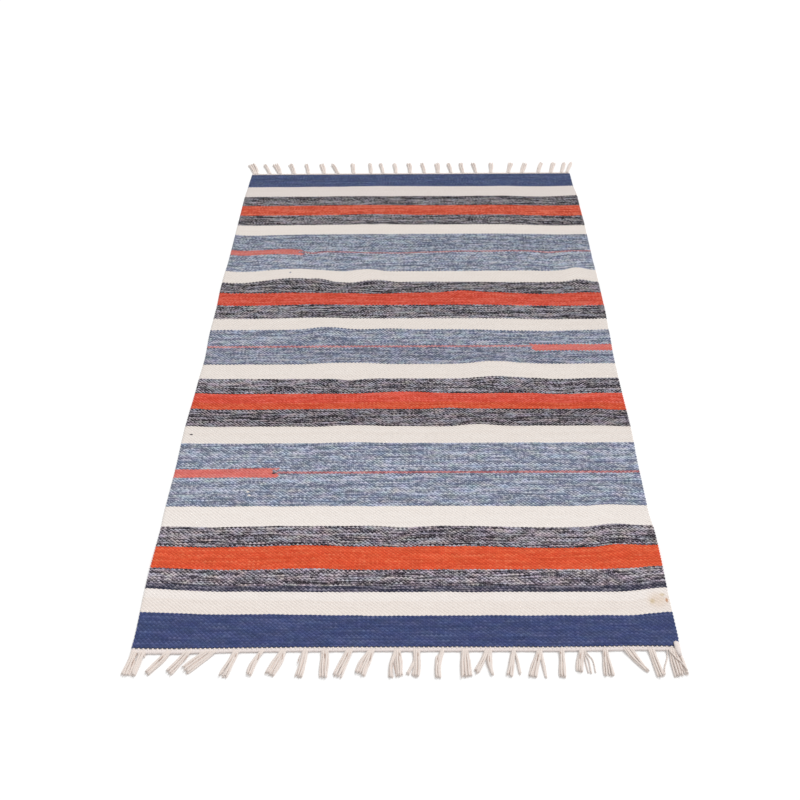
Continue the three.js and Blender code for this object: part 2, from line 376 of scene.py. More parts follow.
def weftMaterial(yarn):
    looks = yarns[yarn]
    material, tree, shader = newMaterial(looks["material"], weftFinish["shader"])
    place = addNode(tree, "UVMap", {"uv_map": "weave"})
    warp, pick, offTotal, offSplit = floatPlace(tree, place)

    # Shade of a float: drift along its pick, the pick's own tone, its own chance, and marl inside it
    floatId = addNode(tree, "CombineXYZ", {}, {0: warp, 1: pick})
    fleck = addNode(tree, "TexWhiteNoise", {"noise_dimensions": "2D"}, {"Vector": floatId})
    pickTone = addNode(tree, "TexWhiteNoise", {"noise_dimensions": "1D"}, {"W": pick})
    driftAcross = addNode(
        tree,
        "Math",
        {"operation": "MULTIPLY"},
        {0: warp, 1: weftFinish["warpPitch"] / looks["streakLong"]},
    )
    driftAlong = addNode(tree, "Math", {"operation": "MULTIPLY"}, {0: pick, 1: weftFinish["streakStep"]})
    driftPlace = addNode(tree, "CombineXYZ", {}, {0: driftAcross, 1: driftAlong})
    streak = addNode(
        tree,
        "TexNoise",
        {"noise_dimensions": "2D"},
        {"Vector": driftPlace, "Scale": 1.0, "Detail": 2.0, "Roughness": 0.65},
    )
    # Two twisted plies make a light and a dark line across each float; where they lie wanders, but the light
    # one mostly keeps to the far half: painted light there, painted shade on the near half
    twistPlace = addNode(
        tree, "VectorMath", {"operation": "MULTIPLY"}, {0: floatId, 1: weftFinish["twistDrift"]}
    )
    twist = addNode(
        tree, "TexNoise", {"noise_dimensions": "2D"}, {"Vector": twistPlace, "Scale": 1.0, "Detail": 1.0}
    )
    acrossFloat = addNode(tree, "Math", {"operation": "SUBTRACT"}, {0: offTotal, 1: offSplit})
    alongFloat = addNode(tree, "Math", {"operation": "ADD"}, {0: offTotal, 1: offSplit})
    turn = addNode(tree, "Math", {"operation": "MULTIPLY"}, {0: acrossFloat, 1: math.pi})
    turn = addNode(
        tree, "Math", {"operation": "MULTIPLY_ADD"}, {0: alongFloat, 1: weftFinish["twistLean"], 2: turn}
    )
    twistMiddle = addNode(tree, "Math", {"operation": "SUBTRACT"}, {0: twist, 1: 0.5})
    turn = addNode(
        tree,
        "Math",
        {"operation": "MULTIPLY_ADD"},
        {0: twistMiddle, 1: weftFinish["twistTurns"], 2: turn},
    )
    plyWave = addNode(tree, "Math", {"operation": "SINE"}, {0: turn})
    plyAndShade = addNode(tree, "Math", {"operation": "MULTIPLY_ADD"}, {0: plyWave, 1: 0.5, 2: 0.5})
    ownMarl = addNode(
        tree, "VectorMath", {"operation": "MULTIPLY"}, {0: floatId, 1: weftFinish["marlStep"]}
    )
    marlPlace = addNode(
        tree,
        "VectorMath",
        {"operation": "MULTIPLY_ADD"},
        {0: place, 1: weftFinish["marlGrain"], 2: ownMarl},
    )
    marl = addNode(
        tree,
        "TexNoise",
        {"noise_dimensions": "2D"},
        {"Vector": marlPlace, "Scale": 1.0, "Detail": 2.0, "Roughness": 0.6},
    )
    shade = 0.0
    sources = ((plyAndShade, "plyAndShade"), (streak, "streak"), (pickTone, "pickTone"), (fleck, "fleck"), (marl, "marl"))
    for source, amount in sources:
        middle = addNode(tree, "Math", {"operation": "SUBTRACT"}, {0: source, 1: 0.5})
        shade = addNode(
            tree, "Math", {"operation": "MULTIPLY_ADD"}, {0: middle, 1: looks[amount], 2: shade}
        )
    allPicks = weftFinish["countedPicks"]
    gain = addNode(
        tree, "Math", {"operation": "MULTIPLY_ADD"}, {0: pick, 1: looks["uneven"] / allPicks, 2: 1.0}
    )
    shade = addNode(tree, "Math", {"operation": "MULTIPLY_ADD"}, {0: shade, 1: gain, 2: 0.5})
    ramp = addNode(tree, "ValToRGB", {}, {0: shade})
    ramp.color_ramp.elements.new(0.5)
    for stop, at, hexText in zip(ramp.color_ramp.elements, weftFinish["shadeStops"], looks["shades"]):
        stop.position, stop.color = at, linearColour(hexText)

    # Dye lots change from one band to the next; the same tints paint light falling off towards the far end
    tintPlace = addNode(
        tree, "Math", {"operation": "MULTIPLY_ADD"}, {0: pick, 1: 1 / allPicks, 2: 0.5 / allPicks}
    )
    lotsAndFalloff = addNode(tree, "ValToRGB", {}, {0: tintPlace})
    lotsAndFalloff.color_ramp.interpolation = "CONSTANT"
    for _ in looks["lotsAndFalloff"][2:]:
        lotsAndFalloff.color_ramp.elements.new(1.0)
    for stop, (firstPick, hexText) in zip(lotsAndFalloff.color_ramp.elements, looks["lotsAndFalloff"]):
        stop.position, stop.color = firstPick / allPicks, linearColour(hexText)
    # A Mix node takes its colours at 6 and 7 and gives the mixed one at 2
    dyed = addNode(
        tree, "Mix", {"data_type": "RGBA", "blend_type": "MULTIPLY"}, {0: 1.0, 6: ramp, 7: lotsAndFalloff}
    ).outputs[2]

    if yarn == "cream":
        dyed = addStains(tree, place, dyed)

    # The hue wanders a little with the plies' own dyes
    huePlace = addNode(tree, "VectorMath", {"operation": "MULTIPLY"}, {0: place, 1: weftFinish["hueGrain"]})
    hue = addNode(
        tree, "TexNoise", {"noise_dimensions": "2D"}, {"Vector": huePlace, "Scale": 1.0, "Detail": 1.0}
    )
    wander = (looks["hue"], weftFinish["hueGreen"] * looks["hue"], looks["hue"])
    least = [1 - amount / 2 for amount in wander]
    tint = addNode(
        tree, "VectorMath", {"operation": "MULTIPLY_ADD"}, {0: hue.outputs["Color"], 1: wander, 2: least}
    )
    dyed = addNode(
        tree, "Mix", {"data_type": "RGBA", "blend_type": "MULTIPLY"}, {0: 1.0, 6: dyed, 7: tint}
    ).outputs[2]

    # Less light reaches the crease between floats
    farTotal = addNode(tree, "Math", {"operation": "ABSOLUTE"}, {0: offTotal})
    farSplit = addNode(tree, "Math", {"operation": "ABSOLUTE"}, {0: offSplit})
    toEdge = addNode(tree, "Math", {"operation": "MAXIMUM"}, {0: farTotal, 1: farSplit})
    crease = addNode(
        tree,
        "MapRange",
        {"interpolation_type": "SMOOTHSTEP"},
        {
            "Value": toEdge,
            "From Min": weftFinish["creaseFrom"],
            "From Max": 0.5,
            "To Min": 1.0,
            "To Max": looks["crease"],
        },
    )
    colour = addNode(
        tree, "Mix", {"data_type": "RGBA", "blend_type": "MULTIPLY"}, {0: 1.0, 6: dyed, 7: crease}
    ).outputs[2]
    tree.links.new(colour, shader.inputs["Base Color"])

    # Fibres lie along the pick
    fibrePlace = addNode(
        tree, "VectorMath", {"operation": "MULTIPLY"}, {0: place, 1: weftFinish["fibreGrain"]}
    )
    fibre = addNode(
        tree,
        "TexNoise",
        {"noise_dimensions": "2D"},
        {"Vector": fibrePlace, "Scale": 1.0, "Detail": 2.0, "Roughness": 0.6},
    )
    strength, depth = weftFinish["fibreStrength"], weftFinish["fibreDepth"]
    bump = addNode(tree, "Bump", {}, {"Strength": strength, "Distance": depth, "Height": fibre})
    tree.links.new(bump.outputs[0], shader.inputs["Normal"])
    return material


yarnNames = list(yarns)
weftMaterials = [weftMaterial(yarn) for yarn in yarnNames]
print("weft yarns dyed:", len(weftMaterials))

cloth = {
    "nearEdge": -901.5,
    "farEdge": 905.2,
    "warps": 230,
    "crest": 5.0,  # top of a float above the cloth's own underside
    "valley": 4.15,
    "edge": 2.3,  # how high the wefts turn round the outer warps
    "outerDip": 0.6,  # the outer warps lie lower than the valleys by this much
    "inset": 0.9,  # from the selvedge to the outer warp
    "turnReach": 0.36,  # warps that a weft's turn stands out past the outer one
    "floatTop": (0.42, 0.36),  # half the flat top of a float, in warps and picks
    "topDrop": 0.22,  # from the crest down to a common top
    "topScatter": (0.05, 0.06, 0.12, 0.08),  # warps, picks, mm of height, mm of tilt
    "topReach": 0.26,  # warps that a top may stand out past the outer one
    "turnDrop": 1.1,  # a top at the selvedge sinks by this much
    "endReach": 0.75,  # picks that the first and last floats may stand out
    "underside": 0.15,
    "underColumns": 10,
    "underInset": 0.1,  # warps
    "underPast": 0.2,  # picks past the last one
    # y, left selvedge, right selvedge
    "selvedges": (
        (-901.5, 603, 599.5), (-880, 602.5, 602.8), (-780, 606.5, 603), (-616, 606, 605),
        (-560, 608, 601.5), (-440, 607.5, 602.5), (-300, 610.5, 606.5), (-140, 607, 604.5),
        (-40, 604.5, 605), (70, 609.5, 609), (170, 609, 612), (268, 612, 612), (320, 612, 611.5),
        (400, 609, 610.5), (600, 609.5, 611), (760, 610, 608), (840, 606.5, 601.5),
        (901.5, 604.5, 600.5),
    ),
    # x, y, reach across, reach along, rise off the floor
    "ripples": (
        (600, -690, 150, 130, 4), (-610, -700, 110, 110, 3), (-270, -650, 150, 90, 2.5),
        (270, -90, 170, 100, 4), (-250, 80, 170, 90, 3), (-385, 315, 190, 110, 5),
        (200, 235, 150, 80, 3), (540, 325, 130, 100, 4), (-110, 640, 180, 110, 3),
        (590, 760, 140, 90, 3),
    ),
    # the near end was not beaten quite straight: x, shift along
    "nearDrift": (
        (-600, -1.6), (-550, -2.1), (-500, -2.4), (-440, -1.5), (-345, -0.5), (-245, 0.6), (-100, 0.9),
        (100, 0.9), (210, 0.6), (320, 0.2), (400, 1.0), (460, 1.9), (512, 2.4), (600, 1.5),
    ),
    # x, y, reach across, reach along, how far the picks were beaten out of line
    "beats": (
        (-640, -800, 260, 170, 11), (-330, -830, 260, 110, 4), (600, -780, 110, 170, 9),
        (510, -610, 75, 150, 6), (350, -620, 230, 110, -6), (-470, -610, 110, 80, -3),
        (-10, -610, 90, 70, -4), (-240, -690, 150, 90, 4), (-140, -310, 120, 130, 4),
        (195, -290, 90, 70, 7), (110, -225, 80, 60, 4), (-600, -220, 60, 220, 4),
        (590, -250, 80, 80, -6), (-20, -180, 150, 60, 7), (440, -150, 110, 130, -5),
        (-170, -120, 60, 50, -5), (245, -80, 110, 90, 9), (-180, -60, 170, 55, 6),
        (-255, 75, 90, 60, 9), (-60, 80, 90, 50, 4), (360, 70, 260, 50, -5),
        (480, 150, 330, 190, -7), (-300, 165, 170, 100, 5), (165, 245, 90, 50, 7),
        (-105, 240, 100, 50, -4), (420, 243, 140, 50, -5), (-370, 310, 200, 72, 22),
        (-290, 285, 50, 40, 6), (50, 293, 320, 38, 4), (-115, 305, 85, 60, 14),
        (-150, 340, 75, 50, 11), (550, 322, 60, 55, 21), (-620, 380, 50, 420, 6),
        (-440, 430, 120, 110, 8), (-330, 440, 45, 40, -9), (-60, 460, 250, 70, -9),
        (470, 410, 95, 90, -12), (-540, 545, 170, 80, -5), (540, 620, 260, 230, -9),
        (490, 785, 200, 80, -6), (-200, 680, 200, 180, 2.5), (-100, 830, 320, 60, 3),
    ),
    # yarn and number of picks, from the near end
    "bands": (
        ("navy", 19), ("cream", 15), ("indigo", 4), ("charcoal", 11), ("orange", 16),
        ("charcoal", 15), ("cream", 15), ("denim", 26), ("rose", 2), ("denim", 24),
        ("cream", 15), ("charcoal", 16), ("orange", 15), ("charcoal", 15), ("cream", 15),
        ("denim", 18), ("rose", 2), ("denim", 18), ("cream", 13), ("charcoal", 16),
        ("orange", 15), ("charcoal", 13), ("cream", 15), ("denim", 26), ("rose", 2),
        ("denim", 24), ("cream", 14), ("charcoal", 15), ("orange", 15), ("charcoal", 15),
        ("cream", 16), ("navy", 21),
    ),
    # middles of the picks of finer red yarn; how many picks from a line, and how far they close up on it
    "thinLines": (121.5, 241.5, 359.5),
    "lineDrawn": ((0, 1, 3), (0, 0.12, 0)),
    # short red picks in from the left (-1) or right (1) selvedge: first pick, then how far from the
    # middle each one ends
    "bars": (
        (-1, 118, (340, 338, 341, 350, 352, 352, 348)),
        (1, 237, (378, 372, 366, 374, 380, 370, 366)),
        (-1, 355, (366, 362, 370, 378, 376, 372, 364)),
    ),
    # the red thread goes on for a little in the denim: pick, from and to which mm across
    "threads": (
        (125, -438, -336), (124, -348, -340), (244, 360, 376), (362, -455, -372), (357, -372, -360),
    ),
    # lint and odd plies: yarn, pick, and where across in mm
    "specks": (
        ("cream", 106, -407), ("cream", 103, -407), ("charcoal", 121, -346), ("charcoal", 122, -346),
        ("charcoal", 154, -595), ("denim", 325, -393),
    ),
    "speckReach": 5.3,  # half a float
    # the field is made in three lengths that meet along a band's last pick
    "joins": (162, 318),
    # floats are pressed in at a change of yarn: from and to which pick, and by how much of a pick
    "pressed": ((190, 240), (0.29, 0)),
    "calmEnds": 60,  # mm in which waves and scatter die out at both ends
    "calmSides": 6,  # warps in which the scatter dies out at both selvedges
    # scatter of the floats: warps and picks to a cell of noise, mm, seed
    "scatterAlong": ((11, 3.1, 0.5, 5), (4.3, 2.3, 0.6, 8)),
    "scatterAcross": (5.3, 14, 0.5, 6),
}
rowYarn = [yarnNames.index(yarn) for yarn, picks in cloth["bands"] for _ in range(picks)]
rows = len(rowYarn)
pitch = (cloth["farEdge"] - cloth["nearEdge"]) / (rows + 1)


def selvedgeAt(side, y):
    # How far the left (1) or right (2) selvedge lies from the middle, eased from row to row
    table = np.array(cloth["selvedges"], dtype=float)
    along = np.clip(np.asarray(y), table[0, 0], table[-1, 0])
    step = np.clip(np.searchsorted(table[:, 0], along, side="right"), 1, len(table) - 1)
    t = (along - table[step - 1, 0]) / (table[step, 0] - table[step - 1, 0])
    t = ease(np.clip(t, 0, 1))
    return table[step - 1, side] * (1 - t) + table[step, side] * t


def driftAt(x, end):
    # How far the cord and the last picks stray from a straight end
    at, shift = np.array(cloth["nearDrift"], dtype=float).T
    return np.interp(x, at, shift) if end < 0 else np.zeros(np.shape(x))


def clothPlace(warp, pick):
    # Warp and pick counts to mm across and along
    tight = pick
    for line in cloth["thinLines"]:
        off = pick - line
        tight = tight - np.sign(off) * np.interp(np.abs(off), *cloth["lineDrawn"])
    y = (tight + 1) * pitch + cloth["nearEdge"]
    left, right = selvedgeAt(1, y), selvedgeAt(2, y)
    inset = cloth["inset"]
    x = -left + inset + (left + right - 2 * inset) * warp / cloth["warps"]
    fade = np.clip(np.minimum(y - cloth["nearEdge"], cloth["farEdge"] - y) / cloth["calmEnds"], 0, 1)
    drift = driftAt(x, -1) * (1 - np.clip((y - cloth["nearEdge"]) / cloth["calmEnds"], 0, 1))
    y = y + fade * hump(x, y, cloth["beats"]) + drift
    scatter = sum(
        mm * smoothNoise(warp / warpCell, pick / pickCell, seed)
        for warpCell, pickCell, mm, seed in cloth["scatterAlong"]
    )
    y = y + fade * scatter
    fromSide = np.clip(np.minimum(warp, cloth["warps"] - warp) / cloth["calmSides"], 0, 1)
    warpCell, pickCell, mm, seed = cloth["scatterAcross"]
    x = x + mm * smoothNoise(warp / warpCell, pick / pickCell, seed) * fromSide
    return x, y


def yarnAt(warp, pick):
    # Index of the yarn on top at each float
    made = np.array(rowYarn)[np.clip(pick, 0, rows - 1)]
    x = (warp / cloth["warps"] - 0.5) * (fieldHigh[0] - fieldLow[0]) * 1000
    for side, firstPick, ends in cloth["bars"]:
        for row, end in enumerate(ends, firstPick):
            made = np.where((pick == row) & (side * x > end), yarnNames.index("brick"), made)
    for row, begin, end in cloth["threads"]:
        made = np.where((pick == row) & (x > begin) & (x < end), yarnNames.index("rose"), made)
    for yarn, row, at in cloth["specks"]:
        near = np.abs(x - at) < cloth["speckReach"]
        made = np.where((pick == row) & near, yarnNames.index(yarn), made)
    return made


def zipLines(first, second, firstAt, secondAt):
    # Triangles between two lines of points with different counts
    faces = []
    i = j = 0
    while i < len(first) - 1 or j < len(second) - 1:
        if j == len(second) - 1 or (i < len(first) - 1 and firstAt[i + 1] <= secondAt[j + 1]):
            faces.append((first[i], first[i + 1], second[j]))
            i += 1
        else:
            faces.append((first[i], second[j + 1], second[j]))
            j += 1
    return faces


def clothPiece(name, start, stop):
    # Floats of picks start to stop - 1, closed underneath
    warps = cloth["warps"]
    last = stop - 1
    ids = {}
    keys = []

    def latticeId(i, v):
        if (i, v) not in ids:
            ids[(i, v)] = len(keys)
            keys.append((i, v))
        return ids[(i, v)]

    floats = [(i, j) for j in range(start, stop) for i in range(j % 2, warps + 1, 2)]
    corners = [
        (latticeId(i - 1, j), latticeId(i, j + 1), latticeId(i + 1, j), latticeId(i, j - 1))
        for i, j in floats
    ]
    lattice = np.array(keys, dtype=float)
    count = len(lattice)
    warpOf, pickOf = lattice[:, 0], lattice[:, 1].copy()
    # Where the yarn changes the floats' points are pressed in, so a border's teeth are short
    nearPick, ownPick, farPick = (yarnAt(warpOf, pickOf.astype(int) + step) for step in (-1, 0, 1))
    pressed = np.interp(pickOf, *cloth["pressed"])
    pickOf += pressed * ((farPick != ownPick) * 1.0 - (nearPick != ownPick))
    pickOf = np.clip(pickOf, -cloth["endReach"], rows - 1 + cloth["endReach"])
    outside = (warpOf < 0) | (warpOf > warps)
    turned = np.clip(warpOf, -cloth["turnReach"], warps + cloth["turnReach"])
    x, y = clothPlace(np.where(outside, turned, warpOf), pickOf)
    rise = np.where(outside, cloth["edge"], cloth["valley"])
    rise = np.where((warpOf == 0) | (warpOf == warps), cloth["valley"] - cloth["outerDip"], rise)
    points = [np.stack([x, y, rise + hump(x, y, cloth["ripples"])], axis=1)]
    weave = [lattice]

    # The flat top of each float, a little out of true
    middle = np.array(floats, dtype=float)
    size = len(middle)
    spin = chance.uniform(-1, 1, (size, 4))
    halfWide, halfDeep = cloth["floatTop"]
    shiftWarp, shiftPick, shiftHigh, shiftTilt = cloth["topScatter"]
    for acrossTop, alongTop in ((-1, 1), (1, 1), (1, -1), (-1, -1)):
        u = middle[:, 0] + acrossTop * halfWide + shiftWarp * spin[:, 0]
        v = middle[:, 1] + alongTop * halfDeep + shiftPick * spin[:, 1]
        edge = np.clip(u, -cloth["topReach"], warps + cloth["topReach"])
        x, y = clothPlace(edge, v)
        high = cloth["crest"] - cloth["topDrop"]
        high = high + shiftHigh * spin[:, 2] + shiftTilt * spin[:, 3] * acrossTop
        high = np.where(np.abs(edge - u) > 0.01, high - cloth["turnDrop"], high)
        points.append(np.stack([x, y, high + hump(x, y, cloth["ripples"])], axis=1))
        weave.append(np.stack([u, v], axis=1))

    faces, slots = [], []
    yarn = yarnAt(middle[:, 0], middle[:, 1].astype(int)).tolist()
    for n, (a, b, c, d) in enumerate(corners):
        p, q, r, s = (count + k * size + n for k in range(4))
        faces += [(p, q, b), (q, c, b), (q, r, c), (r, d, c), (r, s, d), (s, a, d), (s, p, a), (p, b, a)]
        faces.append((s, r, q, p))
        slots += [yarn[n]] * 9

    # Underneath: a plain grid a hair inside the scallops, joined to them all round
    columns = cloth["underColumns"]
    underRows = list(range(start, stop + 1 if last % 2 == 0 else stop))
    underV = np.array([min(v, last) for v in underRows], dtype=float)
    underV[-1] = last + cloth["underPast"]
    underU = np.linspace(cloth["underInset"], warps - cloth["underInset"], columns + 1)
    gridU, gridV = (grid.ravel() for grid in np.meshgrid(underU, underV))
    x, y = clothPlace(gridU, gridV)
    base = count + 4 * size
    points.append(np.stack([x, y, cloth["underside"] + hump(x, y, cloth["ripples"])], axis=1))
    weave.append(np.stack([gridU, gridV], axis=1))
    wide = columns + 1
    under = [[base + r * wide + c for c in range(wide)] for r in range(len(underV))]
    for r in range(len(underV) - 1):
        row = min(underRows[r], last)
        rowYarns = yarnAt((underU[:-1] + underU[1:]) / 2, np.full(columns, row)).tolist()
        for c in range(columns):
            faces.append((under[r][c], under[r + 1][c], under[r + 1][c + 1], under[r][c + 1]))
            slots.append(rowYarns[c])

    def rim(outer, inner):
        # The selvedge's points from pick to pick, with their picks
        line = []
        for v in range(start - 1, stop + 1):
            if v % 2 == 0 and start <= v <= last:
                line.append((ids[(outer, v)], v))
            elif (inner, v) in ids:
                line.append((ids[(inner, v)], v))
        return line

    def sideYarn(face):
        # A side face takes the yarn of the float that it hangs from
        warp, pick = next(keys[p] for p in face if p < count)
        return int(yarnAt(np.array([float(warp)]), np.array([min(max(pick, start), last)]))[0])

    def wall(line, lowLine, lowAt, turned):
        made = zipLines([p for p, _ in line], lowLine, [at for _, at in line], lowAt)
        for face in made:
            faces.append(face[::-1] if turned else face)
            slots.append(sideYarn(face))

    wall(rim(-1, 0), [line[0] for line in under], underV.tolist(), False)
    wall(rim(warps + 1, warps), [line[-1] for line in under], underV.tolist(), True)
    nearEdge = [(ids[(i, start - 1 if (i + start) % 2 == 0 else start)], i) for i in range(warps + 1)]
    farEdge = [(ids[(i, last + 1 if (i + last) % 2 == 0 else last)], i) for i in range(warps + 1)]
    wall(nearEdge, under[0], underU.tolist(), True)
    wall(farEdge, under[-1], underU.tolist(), False)

    weave = np.concatenate(weave)
    loops = np.array([p for face in faces for p in face])
    points = np.concatenate(points)
    made = meshPiece(name, points, faces, "weave", weave[loops], weftMaterials, slots, count)
    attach(made, "root")
    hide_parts("rug_field")
    print("woven", name, "picks", start, "to", last, "faces", len(faces))
    return made, (stop - start) * pitch / 1000


starts = (0,) + cloth["joins"]
stops = cloth["joins"] + (rows,)
clothPieces = [
    clothPiece(name, start, stop)
    for name, start, stop in zip(("cloth_near", "cloth_middle", "cloth_far"), starts, stops)
]

fringe = {
    "cordWide": 8.6,
    "cordHigh": 5.2,
    "strand": 2.15,  # radius of a plied warp end
    "seam": 0.3,
    # at, width at the cord, half-way and at the tips, lean, bow, long
    "near": (
        (-595, 12, 16, 19, -6, 0, 46), (-578, 14, 13, 12, -6, -1, 47),
        (-522, 12.5, 16, 14.5, -33, 1, 41), (-479, 13.5, 15.5, 18, -31, 0, 40),
        (-433, 21, 24, 22, -42, 0, 36), (-372, 13, 17, 21, -20, 0, 49),
        (-316, 10, 13, 14, -20, -4, 46), (-269, 14, 22, 20, -22, 0, 47),
        (-220, 14, 17, 18, -9, 1, 53), (-176, 15, 18, 16, 1, 0, 54),
        (-124, 14, 18, 20, -22, 0, 52), (-76, 14, 23, 23, -20, -3, 47),
        (-22, 7, 8.5, 9, -9, -4, 54), (-16, 12, 17, 14, 4, 0, 51), (26, 13, 17, 15, -1, 0, 52),
        (19, 5, 6, 17, -11, 5, 48), (80, 9, 14, 13, -10, -4, 54), (130, 15, 22, 26, 1, 0, 53),
        (177, 9, 10.5, 11, -24, 2, 43), (185, 9, 13, 8, 2, -4, 48),
        (236, 9, 12.5, 14, -12, 0, 50), (239, 4, 5.5, 8, 8, 1, 47), (293, 11, 15, 17, -20, 0, 53),
        (296, 6, 7, 7, 6, 0, 55), (342, 11, 12.5, 14.5, -4, 0, 54),
        (384, 10, 15.5, 15, -8, -1, 42), (437, 12, 18, 25, 1, 0, 53),
        (489.5, 17, 15, 6, 31, -2, 43), (538, 16, 16, 20, 10, 0, 54),
        (582, 14, 18, 21, 3.5, 0, 53), (589, 8, 9, 9, 5, 0, 43), (597, 7, 10, 13, 6, 0, 49),
    ),
    "far": (
        (-590, 17, 24, 27, -26, 2, 62), (-537, 10, 13, 14, -27, 1, 60),
        (-499, 13, 20, 24, -25, 1, 62), (-445, 13, 18, 19, -20, 1, 62),
        (-391, 11, 14, 15, -14, 1, 61), (-330, 12, 17, 19, -16, 1, 62),
        (-279, 12, 15, 15, -24, 1, 60), (-219, 12, 15, 15, -7, 0, 62),
        (-153, 10, 13, 14, -7, 1, 62), (-107, 10, 14, 15, -12, 1, 61),
        (-58, 11, 14, 15, -7, 0, 62), (-4, 10, 15, 18, -6, 1, 62), (50, 11, 14, 15, -9, 1, 63),
        (102, 11, 16, 19, -3, 0, 62), (152, 9, 13, 15, -10, 1, 61), (196, 11, 15, 17, -6, 0, 62),
        (246, 10, 15, 18, -9, 1, 63), (303, 10, 14, 17, 4, 0, 62), (369, 12, 15, 17, 14, -1, 61),
        (421, 13, 17, 19, 15, 0, 61), (482, 12, 15, 16, 17, -1, 62),
        (531, 12, 16, 18, 17, -1, 62), (571, 10, 13, 15, 17, -1, 61),
        (591, 10, 12, 13, 24, -1, 62),
    ),
    # single ends lying apart: radius, resting height, then x and how far out from the cord's inner side
    "loose": (
        (1.35, 1.4, ((570, 5), (572, 12), (570, 22), (564, 35), (560, 42), (558, 50), (557, 58))),
        (1.7, 2.6, ((76, 16), (68, 19), (66.5, 30), (66.5, 45), (66, 63))),
        (1.4, 1.5, ((388, 6), (390, 18), (391, 30), (392, 42), (394, 55))),
        (1.6, 1.7, ((390, 6), (394, 18), (398, 27), (399, 40), (399.5, 56))),
        (1.3, 1.4, ((392, 6), (399, 16), (406, 24), (408.5, 34), (409, 54))),
        (1.5, 8.4, ((576, 8), (580, 16), (587, 27), (595, 34), (601, 44), (604, 52))),
        (1.4, 1.8, ((-572, 6), (-570, 12), (-570, 17))),
    ),
    # painted shadow: dark strands in the hollows between two ends at the neck: x and out at both ends
    "hollowShadows": (
        (-586, 10, -588, 17), (-589, 20, -592, 36), (-528, 15, -535, 27), (-475, 15, -480, 26),
        (-369, 12, -371, 19), (-318, 12, -321, 26), (-267, 13, -268, 27), (-230, 17, -233, 36),
        (-176, 13, -174, 22), (-126, 13, -127, 25), (-74.5, 13, -76, 28), (-26, 32, -20, 58),
        (-13.5, 12, -11.5, 21), (27.5, 12, 28.5, 22), (71, 22, 71, 33), (182.5, 20, 183, 35),
        (289.5, 14, 286, 30), (338.5, 10, 339, 15), (381, 14, 377, 30), (434, 11, 433, 24),
    ),
    # the cord's own end comes up over the last picks: x, y, z
    "cordEnd": (
        (594.6, -890, 6), (594.6, -891.8, 6.8), (594.6, -897, 7.7), (594.6, -903, 7.8), (595, -911, 7.2),
        (597, -921, 6.5),
    ),
    "cordEndRadius": (4.6, 6, 6.2, 6, 5.6, 3.8),
    "cordStep": 2.4,
    "cordWander": (31, 0.35),  # mm to a cell of noise, and mm to each side
    "cordFat": ((-600, -480, -380), (1.22, 1.2, 1)),  # x, and how many times as thick it is there
    "cordLobes": (2, 0.05, 34),  # two plaited bundles
    "toothHigh": (3.6, 4.0, 4.3, 4.0),
    "toothRadius": (0.9, 2.1, 2.7, 2.8),
    "cordIn": 0.3,  # the cord is drawn in towards the field
    "cordLoss": 0.1,  # the cord's own radius falls short of half its width by this much
    "toothOut": (2.2, 3.0, 3.6),
    # tassels: shares are of a tassel's length unless it says otherwise
    "startOut": 2.6,  # the ends start inside the cord
    "endWide": 4.0,  # one end more for so much of the waist
    "overShare": 0.45,  # ends in the upper layer for one in the lower
    "stagger": 1.3,  # every other end starts higher by this much
    "layers": (4.6, 5.6),  # height of the lower and the upper ends in the cord
    "acrossScatter": 0.12,  # share of half the tassel's width
    "cutScatter": 0.03,
    "swell": (0.82, 0.18, 0.25),  # radius in the cord, what it gains, and by which share
    "slim": (0.3, 12),  # radius left at a tassel that ends in a point, and mm of tip for 1 more
    "waistAt": 0.45,
    "snake": (1.0, 0.9),
    "fallBy": 0.3,
    "tuftSpread": 0.32,
    "tuftRadius": (0.8, 0.55, 0.2),
    "tuftLow": 0.9,
    "looseHigh": 4.5,  # where a single end leaves the cord
    "hollowHigh": (6.9, 6.3),
    "hollowRadius": 1.1,
}
# The two plies turn once in so many mm of strand; painted shade lies in their grooves and down the strand's
# sides
warpFinish = {
    "shader": {"Roughness": 0.95, "Specular IOR Level": 0.2, "Sheen Weight": 0.1},
    "plyTurn": 9,
    "grooveTo": -0.4,  # of the sine round a ply
    "speckGrain": (0.12, 5.0, 1),  # per mm of strand, and per turn round it
    "shadeStops": (0.1, 0.5, 0.9),
    "least": -0.1,
    "shares": (0.65, 0.08, 0.4),  # how much lighter the painted-lit upper side, the plies' backs over their painted-shade grooves, and specks are
    "bumpStrength": 0.45,
    "bumpDepth": 0.0004,  # metres
}


